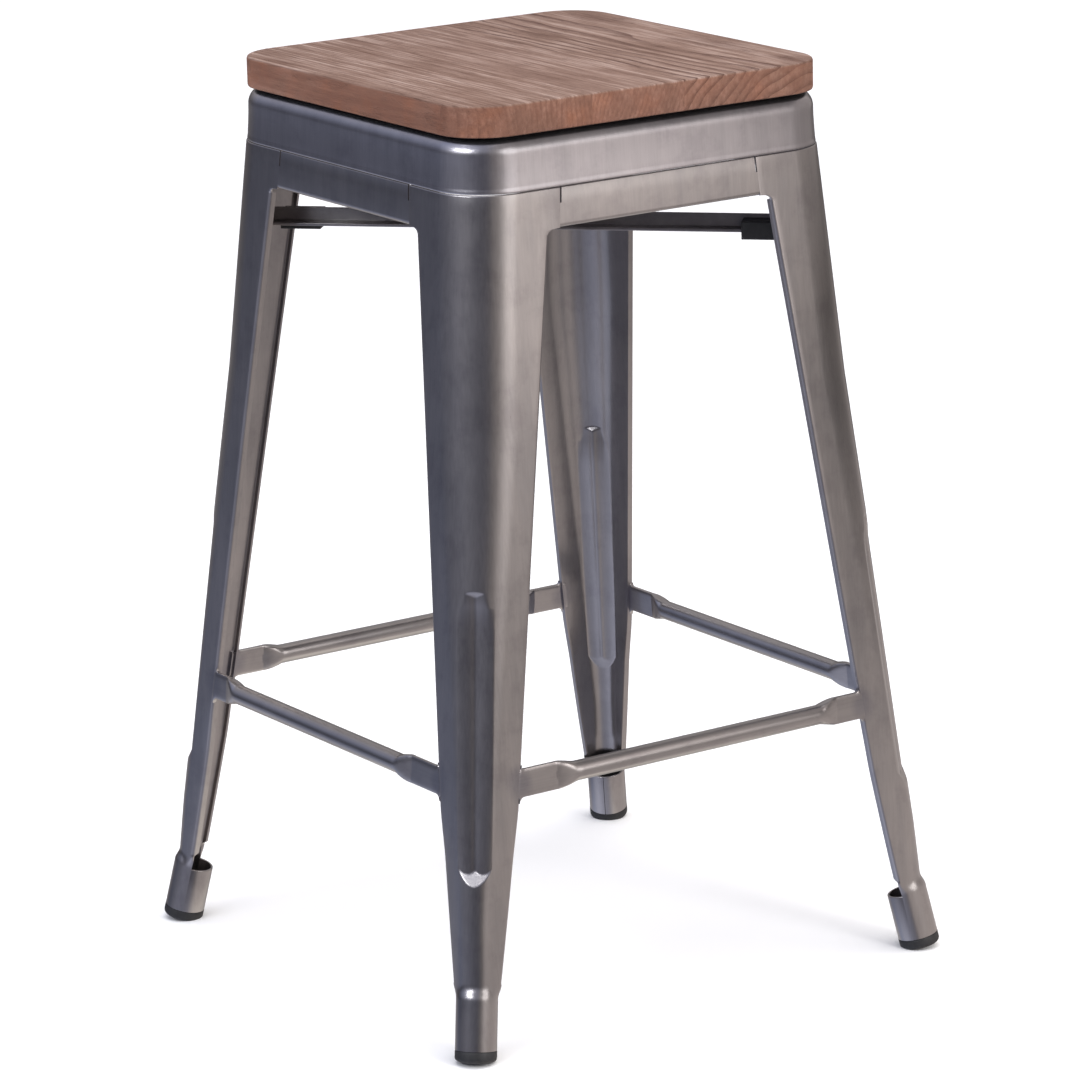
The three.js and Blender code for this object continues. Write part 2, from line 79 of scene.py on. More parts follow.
LEG_RADIUS = 37 * MM
KNEE_HEIGHT = 160 * MM  # the wings narrow faster below this height
KNEE_RADIUS = 19 * MM
RADIUS_TAPER = 0.075
WING_WIDTH = 37.2 * MM
WING_TAPER = 0.0645
KNEE_TAPER = 0.1  # the same below the knee, growing by KNEE_CURVE per millimetre of drop
KNEE_CURVE = 0.00014
FLANGE_DEPTH = 5 * MM
FLANGE_END = 49 * MM  # height at which the edge folds run out above the foot
FLANGE_RUNOUT = 2.5 * MM
WING_CURL = 1.5 * MM  # how far the wing edges below the knee curl in towards the round foot
SHOULDER_FILLET = 3 * MM
BEND_RADIUS = 2.2 * MM
SHARP_BEND = 0.06 * MM  # stands for a square edge where the leg meets an apron
GROOVE_TOP = 304 * MM
GROOVE_BOTTOM = 116 * MM
GROOVE_HALF = 12.5 * MM
GROOVE_DEPTH = 4.1 * MM
GROOVE_NARROWING = 24 * MM  # length over which the groove narrows to half at its upper end
FACET_SLOPE_LOW = 0.42  # depth gained per length at the lower end of the groove
FACET_SLOPE_HIGH = 0.6

FOOT_RADIUS = 13.6 * MM
FOOT_SPLAY = 0.171
FOOT_CENTRE = 183.1 * MM
FOOT_TILT = math.atan(FOOT_SPLAY * math.sqrt(2))
FOOT_REACH = math.radians(97)  # how far round the foot the leg's own sheet runs, from the outer side
FOOT_SEAM = 0.014  # half the angle of the open seam, in radians
SOCKET_TOP = 40 * MM
SOCKET_BOTTOM = 8.4 * MM
NECK_TOP = 50 * MM
NECK_LENGTH = 13 * MM
TUBE_TOP = 39.2 * MM  # where the plain foot tube starts, measured along it

SLIT_HEIGHT = 10 * MM
SLIT_WIDTH = 1.2 * MM
FOLD_RADIUS = 2.6 * MM  # the inward fold along an apron's lower edge
FOLD_DEPTH = 6 * MM

RAIL_RADIUS = 6.6 * MM
STRIP_HALF = 9.2 * MM
STRIP_THICKNESS = 3.4 * MM
RAIL_BLEND = 19 * MM
RAIL_INSET = 1.6 * MM
WELD_FILLET = 3.2 * MM
STRIP_LAP = 4 * MM  # how far each rail end runs over the leg edge, sinking into its face
STRIP_SINK = 0.45 * MM
EDGE_SLOPE = 0.149  # sideways run of a leg's edge per length of height, which the rail ends follow
EDGE_REACH = 9 * MM  # length over which a rail end turns from that slope to square

GLIDE_TOP = 8.2 * MM
GLIDE_ROUND = 2.8 * MM
PLUG_LENGTH = 15 * MM

CORNERS = {
    "front_left": (-1, -1),
    "front_right": (1, -1),
    "back_right": (1, 1),
    "back_left": (-1, 1),
}


def face_half(z):
    return SEAM_HALF + FACE_SPLAY * (SEAM - z)


def smooth(t):
    u = min(1.0, max(0.0, t))
    return u * u * (3 - 2 * u)


# ---- mesh helpers ----
def piece_from(name, points, faces, material, sharp=32):
    mesh = bpy.data.meshes.new(name)
    mesh.from_pydata([tuple(p) for p in points], [], faces)
    mesh.validate()
    mesh.shade_smooth()
    mesh.set_sharp_from_angle(angle=math.radians(sharp))
    mesh.materials.append(material)
    piece = bpy.data.objects.new(name, mesh)
    bpy.context.scene.collection.objects.link(piece)
    return piece


def tube_faces(stations, count, closed=True, first=0):
    """Quads over stations of count points each; closed joins the last point to the first."""
    faces = []
    last = count if closed else count - 1
    for k in range(stations - 1):
        for i in range(last):
            a = first + k * count + i
            b = first + k * count + (i + 1) % count
            faces.append((a, b, b + count, a + count))
    return faces


def ring_loft(rings):
    """A closed skin over rings of points, with a fan cap at each end."""
    count = len(rings[0])
    points = [p for ring in rings for p in ring]
    faces = tube_faces(len(rings), count)
    first = len(points)
    points.append(tuple(np.mean(rings[0], axis=0)))
    points.append(tuple(np.mean(rings[-1], axis=0)))
    end = (len(rings) - 1) * count
    for i in range(count):
        j = (i + 1) % count
        faces.append((first, j, i))
        faces.append((first + 1, end + i, end + j))
    return points, faces


def sheet_loft(outer, inner):
    """Sheet metal between an outer and an inner surface, both as stations of points."""
    half = len(outer[0])
    rings = [list(o) + list(reversed(i)) for o, i in zip(outer, inner)]
    count = 2 * half
    points = [p for ring in rings for p in ring]
    faces = tube_faces(len(rings), count)
    end = (len(rings) - 1) * count
    for i in range(half - 1):
        p, q, r, s = i, i + 1, count - 2 - i, count - 1 - i
        faces.append((p, s, r, q))
        faces.append((end + p, end + q, end + r, end + s))
    return points, faces


def mirrored(points, faces, sx, sy):
    moved = [(x * sx, y * sy, z) for x, y, z in points]
    if sx * sy < 0:
        faces = [tuple(reversed(f)) for f in faces]
    return moved, faces


def turned(points, quarter):
    c, s = [(1, 0), (0, 1), (-1, 0), (0, -1)][quarter % 4]
    return [(x * c - y * s, x * s + y * c, z) for x, y, z in points]


def joined(*parts):
    points, faces = [], []
    for part_points, part_faces in parts:
        shift = len(points)
        points += list(part_points)
        faces += [tuple(i + shift for i in f) for f in part_faces]
    return points, faces


def finish_piece(piece, slot, *nodes):
    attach(piece, "root")
    if nodes:
        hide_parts(*nodes)
    return piece


# ---- material helpers ----
def new_material(name):
    material = bpy.data.materials.new(name)
    material.use_nodes = True
    nodes = material.node_tree.nodes
    shader = nodes["Principled BSDF"]
    return material, nodes, material.node_tree.links, shader


def ramp(nodes, stops):
    node = nodes.new("ShaderNodeValToRGB")
    elements = node.color_ramp.elements
    while len(elements) < len(stops):
        elements.new(0.5)
    for element, (place, colour) in zip(elements, stops):
        element.position = place
        element.color = (*colour, 1) if len(colour) == 3 else colour
    return node


def noise(nodes, links, vector, scale, detail=3.0, rough=0.55):
    node = nodes.new("ShaderNodeTexNoise")
    node.inputs["Scale"].default_value = scale
    node.inputs["Detail"].default_value = detail
    node.inputs["Roughness"].default_value = rough
    links.new(vector, node.inputs["Vector"])
    return node.outputs["Fac"]


def mapped(nodes, links, vector, scale=(1, 1, 1), shift=(0, 0, 0)):
    node = nodes.new("ShaderNodeMapping")
    node.inputs["Scale"].default_value = scale
    node.inputs["Location"].default_value = shift
    links.new(vector, node.inputs["Vector"])
    return node.outputs["Vector"]


def maths(nodes, links, operation, *values):
    node = nodes.new("ShaderNodeMath")
    node.operation = operation
    for socket, value in zip(node.inputs, values):
        if isinstance(value, (int, float)):
            socket.default_value = value
        else:
            links.new(value, socket)
    return node.outputs[0]


def blend_colour(nodes, links, factor, a, b, mode="MIX"):
    node = nodes.new("ShaderNodeMix")
    node.data_type = "RGBA"
    node.blend_type = mode
    for socket, value in ((node.inputs[0], factor), (node.inputs[6], a), (node.inputs[7], b)):
        if isinstance(value, (int, float)):
            socket.default_value = value
        elif isinstance(value, tuple):
            socket.default_value = (*value, 1)
        else:
            links.new(value, socket)
    return node.outputs[2]


def bump(nodes, links, height, strength, distance):
    node = nodes.new("ShaderNodeBump")
    node.inputs["Strength"].default_value = strength
    node.inputs["Distance"].default_value = distance
    links.new(height, node.inputs["Height"])
    return node.outputs["Normal"]


# ---- materials ----
# Noise scales per metre, before any stretch along the grain or the brushing.
STEEL_SCALES = {"lines": 900, "bands": 90, "clouds": 14, "stains": 42, "specks": 1300}
WOOD_SCALES = {"bends": 8, "pores": 1100, "fibres": 420, "streaks": 150, "clouds": 26, "blotches": 34}
PLASTIC_SCALES = {"grain": 900, "dust": 60}
RING_BEND = 0.035  # range over which noise shifts the growth rings, in metres
SIDE_DARK = (0.11, 0.055, 0.04)
PORE_DARK = (0.1, 0.048, 0.036)
GRAIN_DARK = (0.105, 0.05, 0.036)
# Painted shade: near black for the board's underside and its lower edge round, standing in for the shadow in
# the gap over the pan.
UNDERSIDE_PAINTED_SHADE = (0.006, 0.005, 0.005)


def steel(name, light, dark, seed, along="z", roughness=(0.24, 0.36), welds=()):
    """Raw rolled steel under clear coat: brushed lines, cloudy tone, stains, and a tint round each weld."""
    material, nodes, links, shader = new_material(name)
    place = nodes.new("ShaderNodeTexCoord").outputs["Object"]
    stretch = {"z": (1, 1, 0.02), "x": (0.02, 1, 1), "y": (1, 0.02, 1)}[along]
    brushed = mapped(nodes, links, place, stretch, (seed, seed * 0.7, seed * 0.3))
    lines = noise(nodes, links, brushed, STEEL_SCALES["lines"], 4)
    bands = noise(nodes, links, brushed, STEEL_SCALES["bands"], 3)
    cloud = noise(nodes, links, mapped(nodes, links, place, shift=(seed, 0, 0)), STEEL_SCALES["clouds"], 4)
    stain_place = mapped(nodes, links, place, shift=(0, seed, 0))
    stain = noise(nodes, links, stain_place, STEEL_SCALES["stains"], 6, 0.7)
    speck = noise(nodes, links, place, STEEL_SCALES["specks"], 1)
    tone = ramp(nodes, [(0.3, dark), (0.7, light)])
    links.new(maths(nodes, links, "ADD", maths(nodes, links, "MULTIPLY", cloud, 0.5),
                    maths(nodes, links, "MULTIPLY", bands, 0.5)), tone.inputs[0])
    stained = ramp(nodes, [(0.36, (0.84, 0.83, 0.85)), (0.5, (1, 1, 1))])
    links.new(stain, stained.inputs[0])
    colour = blend_colour(nodes, links, 0.6, tone.outputs[0], stained.outputs[0], "MULTIPLY")
    fine = ramp(nodes, [(0.3, (0.88, 0.88, 0.88)), (0.62, (1.0, 1.0, 1.0))])
    links.new(lines, fine.inputs[0])
    colour = blend_colour(nodes, links, 0.55, colour, fine.outputs[0], "MULTIPLY")
    for spot, reach in welds:
        far = nodes.new("ShaderNodeVectorMath")
        far.operation = "DISTANCE"
        links.new(place, far.inputs[0])
        far.inputs[1].default_value = spot
        edge = maths(nodes, links, "ADD", maths(nodes, links, "DIVIDE", far.outputs["Value"], 2 * reach),
                     maths(nodes, links, "MULTIPLY", stain, 0.3))
        ring = ramp(nodes, WELD_TINT)
        links.new(edge, ring.inputs[0])
        colour = blend_colour(nodes, links, 0.85, colour, ring.outputs[0], "MULTIPLY")
    links.new(colour, shader.inputs["Base Color"])
    low, high = roughness
    span = nodes.new("ShaderNodeMapRange")
    span.inputs["To Min"].default_value = low
    span.inputs["To Max"].default_value = high
    links.new(maths(nodes, links, "ADD", maths(nodes, links, "MULTIPLY", lines, 0.5),
                    maths(nodes, links, "MULTIPLY", stain, 0.5)), span.inputs["Value"])
    links.new(span.outputs[0], shader.inputs["Roughness"])
    height = maths(nodes, links, "ADD", maths(nodes, links, "MULTIPLY", lines, 0.7),
                   maths(nodes, links, "MULTIPLY", speck, 0.3))
    links.new(bump(nodes, links, height, 0.1, 0.0002), shader.inputs["Normal"])
    shader.inputs["Metallic"].default_value = 1.0
    shader.inputs["Coat Weight"].default_value = 0.7
    shader.inputs["Coat Roughness"].default_value = 0.07
    return material


def wood(name, seed, centre, ring, contrast, warm):
    """Brushed open-grained wood: growth rings round an axis along Y, streaks and pores along the grain."""
    material, nodes, links, shader = new_material(name)
    place = nodes.new("ShaderNodeTexCoord").outputs["Object"]
    wobble = nodes.new("ShaderNodeTexNoise")
    wobble.inputs["Scale"].default_value = WOOD_SCALES["bends"]
    wobble.inputs["Detail"].default_value = 3
    links.new(mapped(nodes, links, place, (1, 0.4, 1), (seed, seed, 0)), wobble.inputs["Vector"])
    shift = nodes.new("ShaderNodeVectorMath")
    shift.operation = "SCALE"
    shift.inputs["Scale"].default_value = RING_BEND
    links.new(wobble.outputs["Color"], shift.inputs[0])
    bent = nodes.new("ShaderNodeVectorMath")
    bent.operation = "ADD"
    links.new(place, bent.inputs[0])
    links.new(shift.outputs[0], bent.inputs[1])
    split = nodes.new("ShaderNodeSeparateXYZ")
    links.new(mapped(nodes, links, bent.outputs[0], shift=(-centre[0], 0, -centre[1])), split.inputs[0])
    radius = maths(nodes, links, "SQRT", maths(
        nodes, links, "ADD",
        maths(nodes, links, "MULTIPLY", split.outputs["X"], split.outputs["X"]),
        maths(nodes, links, "MULTIPLY", split.outputs["Z"], split.outputs["Z"])))
    phase = maths(nodes, links, "FRACT", maths(nodes, links, "DIVIDE", radius, ring))
    early = ramp(nodes, [(0.0, (1, 1, 1)), (0.16, (0.7, 0.7, 0.7)), (0.4, (0.1, 0.1, 0.1)),
                         (0.96, (0, 0, 0)), (1.0, (1, 1, 1))])
    links.new(phase, early.inputs[0])

    def grain(scale, stretch, offset, detail, rough=0.55):
        along = mapped(nodes, links, place, stretch, offset)
        return noise(nodes, links, along, WOOD_SCALES[scale], detail, rough)

    pores = grain("pores", (1, 0.05, 1), (0, seed, 0), 3, 0.7)
    fibre = grain("fibres", (1, 0.03, 0.6), (0, 0, seed), 5, 0.65)
    streak = grain("streaks", (1, 0.06, 0.6), (seed, 0, seed), 4, 0.6)
    cloud = grain("clouds", (1, 0.5, 1), (seed, 0, 0), 4)
    patchy = ramp(nodes, [(0.35, (0.45, 0.45, 0.45)), (0.6, (1, 1, 1))])
    links.new(cloud, patchy.inputs[0])
    open_grain = maths(nodes, links, "MULTIPLY", maths(nodes, links, "MULTIPLY", early.outputs[0], contrast),
                       patchy.outputs[0])
    pits = ramp(nodes, [(0.34, (1, 1, 1)), (0.46, (0, 0, 0))])
    links.new(pores, pits.inputs[0])
    pit_mask = maths(nodes, links, "MULTIPLY", pits.outputs[0], maths(nodes, links, "ADD", open_grain, 0.3))
    base = ramp(nodes, [(0.4, warm[0]), (0.5, warm[1]), (0.59, warm[2])])
    mix = maths(nodes, links, "ADD", maths(nodes, links, "MULTIPLY", fibre, 0.4),
                maths(nodes, links, "MULTIPLY", streak, 0.35))
    links.new(maths(nodes, links, "ADD", mix, maths(nodes, links, "MULTIPLY", cloud, 0.25)), base.inputs[0])
    dark = blend_colour(nodes, links, open_grain, base.outputs[0], GRAIN_DARK)
    top_tone = blend_colour(nodes, links, pit_mask, dark, PORE_DARK)
    # The sawn sides are stained a richer orange brown in blotches, and the underside is painted near black as
    # painted shade, standing in for the dark shadow gap between the board and the pan.
    blotch = grain("blotches", (1, 1, 1), (0, 0, seed), 3)
    stain = ramp(nodes, [(0.36, (0.72, 0.54, 0.46)), (0.56, (0.8, 0.56, 0.46)), (0.72, (0.92, 0.57, 0.4))])
    links.new(blotch, stain.inputs[0])
    calm = blend_colour(nodes, links, 0.6, base.outputs[0], warm[1])
    side_rings = maths(nodes, links, "MULTIPLY", open_grain, 0.5)
    side_tone = blend_colour(nodes, links, side_rings, calm, SIDE_DARK)
    side_tone = blend_colour(nodes, links, 0.9, side_tone, stain.outputs[0], "MULTIPLY")
    normal = nodes.new("ShaderNodeNewGeometry")
    facing = nodes.new("ShaderNodeSeparateXYZ")
    links.new(normal.outputs["Normal"], facing.inputs[0])
    up = nodes.new("ShaderNodeMapRange")
    up.inputs["From Min"].default_value = 0.3
    up.inputs["From Max"].default_value = 0.8
    links.new(facing.outputs["Z"], up.inputs["Value"])
    # Painted shade: faces turned downwards are painted near black, for the shadow under the board.
    down = nodes.new("ShaderNodeMapRange")
    down.inputs["From Min"].default_value = -0.25
    down.inputs["From Max"].default_value = -0.6
    links.new(facing.outputs["Z"], down.inputs["Value"])
    tone = blend_colour(nodes, links, up.outputs[0], side_tone, top_tone)
    tone = blend_colour(nodes, links, down.outputs[0], tone, UNDERSIDE_PAINTED_SHADE)
    links.new(tone, shader.inputs["Base Color"])
    shader.inputs["Specular IOR Level"].default_value = 0.25
    rough = nodes.new("ShaderNodeMapRange")
    rough.inputs["To Min"].default_value = 0.5
    rough.inputs["To Max"].default_value = 0.8
    links.new(fibre, rough.inputs["Value"])
    links.new(rough.outputs[0], shader.inputs["Roughness"])
    height = maths(nodes, links, "SUBTRACT", maths(nodes, links, "MULTIPLY", streak, 0.5),
                   maths(nodes, links, "ADD", open_grain, maths(nodes, links, "MULTIPLY", pit_mask, 0.8)))
    links.new(bump(nodes, links, height, 0.7, 0.0008), shader.inputs["Normal"])
    return material


def plastic(name, colour, seed):
    material, nodes, links, shader = new_material(name)
    place = nodes.new("ShaderNodeTexCoord").outputs["Object"]
    grain = noise(nodes, links, mapped(nodes, links, place, shift=(seed, 0, 0)), PLASTIC_SCALES["grain"], 4)
    dust_place = mapped(nodes, links, place, shift=(0, seed, 0))
    dust = noise(nodes, links, dust_place, PLASTIC_SCALES["dust"], 5, 0.7)
    tone = ramp(nodes, [(0.35, colour), (0.72, tuple(2.1 * c for c in colour))])
    links.new(dust, tone.inputs[0])
    links.new(tone.outputs[0], shader.inputs["Base Color"])
    rough = nodes.new("ShaderNodeMapRange")
    rough.inputs["To Min"].default_value = 0.42
    rough.inputs["To Max"].default_value = 0.7
    links.new(grain, rough.inputs["Value"])
    links.new(rough.outputs[0], shader.inputs["Roughness"])
    links.new(bump(nodes, links, grain, 0.25, 0.0003), shader.inputs["Normal"])
    return material


# How far the heat tint spreads from a weld, on the leg and on the rail.
LEG_WELD_REACH = 14.5 * MM
RAIL_WELD_REACH = 10 * MM
# Colour of the metal around a weld against distance: blued close by, then the plain sheet.
WELD_TINT = [
    (0.15, (0.7, 0.72, 0.79)),
    (0.4, (0.76, 0.77, 0.83)),
    (0.68, (1.0, 1.0, 1.0)),
]
LIGHT_STEEL = (0.5, 0.47, 0.46)
DARK_STEEL = (0.36, 0.345, 0.35)
PAN_LIGHT = (0.56, 0.535, 0.555)
PAN_DARK = (0.44, 0.425, 0.445)
RAW_LIGHT = (0.42, 0.39, 0.385)
RAW_DARK = (0.25, 0.235, 0.235)
PIT_BLACK = (0.012, 0.012, 0.013)


# ---- seat board ----
def rounded_square(half, radius, z, steps=14):
    ring = []
    for corner, (sx, sy) in enumerate(((1, 1), (-1, 1), (-1, -1), (1, -1))):
        cx, cy = sx * (half - radius), sy * (half - radius)
        for i in range(steps + 1):
            angle = (corner + i / steps) * math.pi / 2
            ring.append((cx + radius * math.cos(angle), cy + radius * math.sin(angle), z))
    return ring


def board_outline(x0, x1, inset, steps=24):
    """Outline of one stave at an inset from the board's edge, cut at x0 and x1."""
    half = BOARD_HALF - inset
    radius = BOARD_CORNER - inset

    def edge_y(x):
        past = abs(x) - (half - radius)
        if past <= 0:
            return half
        return half - radius + math.sqrt(max(0.0, radius * radius - past * past))

    left = max(x0, -half)
    right = min(x1, half)
    places = []
    for i in range(steps + 1):
        t = i / steps
        if x0 < -BOARD_HALF:
            t = 1 - math.cos(t * math.pi / 2)
        elif x1 > BOARD_HALF:
            t = math.sin(t * math.pi / 2)
        places.append(left + (right - left) * t)
    front = [(x, -edge_y(x)) for x in places]
    back = [(x, edge_y(x)) for x in reversed(places)]
    return front + back


def stave(index, x0, x1, material):
    inset = BOARD_EDGE * (1 - math.sqrt(0.5))
    deep = BOARD_EDGE * (1 - math.cos(math.radians(67.5)))
    levels = [(BOARD_EDGE, BOARD_BOTTOM), (inset, BOARD_BOTTOM + inset), (0, BOARD_BOTTOM + BOARD_EDGE)]
    levels += [(0, SEAT_TOP - BOARD_EDGE), (inset, SEAT_TOP - inset), (deep, SEAT_TOP - deep * 0.15),
               (BOARD_EDGE, SEAT_TOP)]
    rings = [[(x, y, z) for x, y in board_outline(x0, x1, edge)] for edge, z in levels]
    points, faces = ring_loft(rings)
    return piece_from(f"stave_{index}", points, faces, material, 40)


def seat_board():
    tones = [
        ((0.14, 0.075, 0.054), (0.242, 0.152, 0.117), (0.39, 0.28, 0.235)),
        ((0.15, 0.083, 0.061), (0.25, 0.158, 0.123), (0.39, 0.28, 0.235)),
        ((0.15, 0.085, 0.062), (0.25, 0.158, 0.122), (0.39, 0.28, 0.235)),
    ]
    woods = [
        wood("wood_stave_1", 3.1, (-0.42, 0.585), 0.0036, 0.5, tones[0]),
        wood("wood_stave_2", 7.7, (0.3, 0.5), 0.0031, 0.4, tones[1]),
        wood("wood_stave_3", 1.9, (0.15, 0.535), 0.0068, 1.0, tones[2]),
    ]
    edges = [-1.0, *JOINTS, 1.0]
    for i in range(3):
        piece = stave(i + 1, edges[i], edges[i + 1], woods[i])
        finish_piece(piece, "seat_wood", f"seat_stave_{i + 1}")


# ---- seat pan ----
def seat_pan():
    flare = SEAM_HALF - PAN_HALF
    tight = PAN_BEND - SHEET
    outer = [(20 * MM, 6 * MM, PAN_TOP), (90 * MM, 20 * MM, PAN_TOP)]
    inner = [(half, radius, z - SHEET) for half, radius, z in outer]
    bend_steps = 16
    for i in range(bend_steps + 1):
        a = i / bend_steps * math.pi / 2
        out = PAN_BEND * (1 - math.sin(a))
        outer.append((PAN_HALF - out, PAN_CORNER - out, PAN_TOP - PAN_BEND * (1 - math.cos(a))))
        out = SHEET + tight * (1 - math.sin(a))
        inner.append((PAN_HALF - out, PAN_CORNER - out, PAN_TOP - SHEET - tight * (1 - math.cos(a))))
    # The skirt leans out a little on its way down and steps over the leg tops just above the seam.
    lean = SKIRT_LEAN * flare
    skirt_top = PAN_TOP - PAN_BEND
    skirt_drop = skirt_top - SEAM - STEP_TOP
    skirt = [(lean * (i / 6) ** 1.5, skirt_top - skirt_drop * i / 6) for i in range(1, 7)]
    for i in range(1, 8):
        z = SEAM + STEP_TOP - (STEP_TOP - STEP_BOTTOM) * i / 7
        skirt.append((lean + (flare - lean) * smooth(i / 7), z))
    for step, z in skirt:
        outer.append((PAN_HALF + step, PAN_CORNER + step, z))
        inner.append((PAN_HALF + step - SHEET, PAN_CORNER + step - SHEET, z))
    outer.append((SEAM_HALF - 0.1 * MM, PAN_CORNER + flare, SEAM + 0.25 * MM))
    outer.append((SEAM_HALF - 0.5 * MM, PAN_CORNER + flare, SEAM))
    inner.append((SEAM_HALF - SHEET, PAN_CORNER + flare - SHEET, SEAM))
    profile = outer + list(reversed(inner))
    rings = [rounded_square(half, radius, z, 22) for half, radius, z in reversed(profile)]
    points, faces = ring_loft(rings)
    material = steel("pan_steel", PAN_LIGHT, PAN_DARK, 2.3)
    finish_piece(piece_from("pan_shell", points, faces, material, 50), "clear_coated_steel", "seat_pan")


# ---- legs ----
def wing_width(z):
    full = face_half(LEG_TOP) - SHOULDER_EDGE
    if z >= APRON_BOTTOM:
        return full
    straight = WING_WIDTH + WING_TAPER * (z - KNEE_HEIGHT)
    if z > APRON_BOTTOM - SHOULDER_FILLET:
        t = (z - APRON_BOTTOM + SHOULDER_FILLET) / SHOULDER_FILLET
        return straight + (full - straight) * (1 - math.sqrt(max(0.0, 1 - t * t)))
    if z > KNEE_HEIGHT:
        return straight
    drop = (KNEE_HEIGHT - z) / MM
    return WING_WIDTH - (KNEE_TAPER * drop + KNEE_CURVE * drop * drop) * MM


def corner_radius(z):
    radius = KNEE_RADIUS + RADIUS_TAPER * (z - KNEE_HEIGHT)
    return min(LEG_RADIUS, max(FOOT_RADIUS, radius))


def flange_depth(z):
    if z > APRON_BOTTOM - SHOULDER_FILLET:
        return SHEET
    top = smooth((APRON_BOTTOM - SHOULDER_FILLET - z) / (1.5 * MM))
    return SHEET + (FLANGE_DEPTH - SHEET) * top * smooth((z - FLANGE_END) / FLANGE_RUNOUT)


def soft_min(a, b, ease):
    gap = max(0.0, ease - abs(a - b)) / ease
    return min(a, b) - gap * gap * ease / 4


def groove_depth(z, s):
    """Depth of the V groove pressed into the corner, closed by a flat facet at each end."""
    half = GROOVE_HALF * (0.5 + 0.5 * smooth((GROOVE_TOP - z) / GROOVE_NARROWING))
    across = 1 - abs(s) / half
    if across <= 0 or not GROOVE_BOTTOM < z < GROOVE_TOP:
        return 0.0
    valley = max(0.0, across - 0.88)  # rounds off the bottom of the V
    wall = GROOVE_DEPTH * half / GROOVE_HALF * (across - valley ** 2 / 0.24)
    radius = corner_radius(z)
    ramp_depth = min((z - GROOVE_BOTTOM) * FACET_SLOPE_LOW, (GROOVE_TOP - z) * FACET_SLOPE_HIGH)
    facet = radius - (radius - ramp_depth) / math.cos(s / radius)
    return max(0.0, soft_min(wall, facet, 0.3 * MM))


def arc_angles(radius):
    """Angles over the corner arc, from the +Y face round to the +X face, closer over the groove."""
    spread = [math.sin(t * math.pi / 2) * 0.35 + t * 0.65 for t in np.linspace(-1, 1, 57)]
    return [math.pi / 4 * (1 - t) for t in spread]


def leg_path(z, inset):
    """One surface of the leg at height z, from the free edge of one wing to the other."""
    plane = face_half(z)
    radius = corner_radius(z)
    edge = plane - wing_width(z)
    depth = flange_depth(z)
    centre = plane - radius
    bend = max(SHARP_BEND, min(BEND_RADIUS, depth - 0.3 * MM) - inset)
    if z > APRON_BOTTOM - 0.5 * MM:
        bend = SHARP_BEND
    wing = [(edge + inset, plane - depth)]
    for i in range(7):
        angle = math.pi * (1 - i / 12)
        x = edge + inset + bend + bend * math.cos(angle)
        y = plane - inset - bend + bend * math.sin(angle)
        wing.append((x, y))
    start = wing[-1][0]
    for i in range(1, 7):
        wing.append((start + (centre - start) * i / 7, plane - inset))
    curl = WING_CURL * smooth((KNEE_HEIGHT + 4 * MM - z) / (40 * MM))
    wing = [(x, y - curl * ((centre - x) / (centre - edge)) ** 1.6) for x, y in wing]
    arc = []
    for angle in arc_angles(radius):
        s = radius * (angle - math.pi / 4)
        r = radius - inset - groove_depth(z, s)
        arc.append((centre + r * math.cos(angle), centre + r * math.sin(angle)))
    path = wing + arc + [(y, x) for x, y in reversed(wing)]
    return [(x, y, z) for x, y in path]


# The rounded top edge of legs and aprons: how far in it is, at what drop below the seam.
RIM = [(0.9 * MM, 0.0), (0.5 * MM, 0.1 * MM), (0.18 * MM, 0.32 * MM), (0.03 * MM, 0.62 * MM)]


def on_foot(angle, radius, axial):
    """A point on the tilted foot tube; angle 0 is its outer side, away from the middle."""
    x = radius * math.cos(angle)
    y = radius * math.sin(angle)
    lean_x = x * math.cos(FOOT_TILT) - axial * math.sin(FOOT_TILT)
    z = x * math.sin(FOOT_TILT) + axial * math.cos(FOOT_TILT)
    c = math.sqrt(0.5)
    return (FOOT_CENTRE + (lean_x - y) * c, FOOT_CENTRE + (lean_x + y) * c, z)


def foot_path(axial, inset, count):
    turns = [1 - 2 * i / (count - 1) for i in range(count)]
    return [on_foot(FOOT_REACH * turn, FOOT_RADIUS - inset, axial) for turn in turns]


def leg_stations():
    """Heights of the leg's sections down to the neck, closer where its shape changes fast."""
    zs = list(np.linspace(LEG_TOP - 0.9 * MM, APRON_BOTTOM + 1 * MM, 5))
    zs += [APRON_BOTTOM - SHOULDER_FILLET * (1 - math.cos(a)) for a in np.linspace(0, math.pi / 2, 14)]
    wing_top = APRON_BOTTOM - SHOULDER_FILLET
    zs += list(np.linspace(wing_top - 0.4 * MM, wing_top - 2 * MM, 5))
    zs += list(np.linspace(515 * MM, GROOVE_TOP + 4 * MM, 26))
    zs += list(np.linspace(GROOVE_TOP + 1 * MM, GROOVE_TOP - 11 * MM, 17))
    zs += list(np.linspace(283 * MM, GROOVE_BOTTOM + 17 * MM, 22))
    zs += list(np.linspace(GROOVE_BOTTOM + 14 * MM, GROOVE_BOTTOM - 1 * MM, 21))
    zs += list(np.linspace(105 * MM, NECK_TOP + 3 * MM, 14))
    return zs


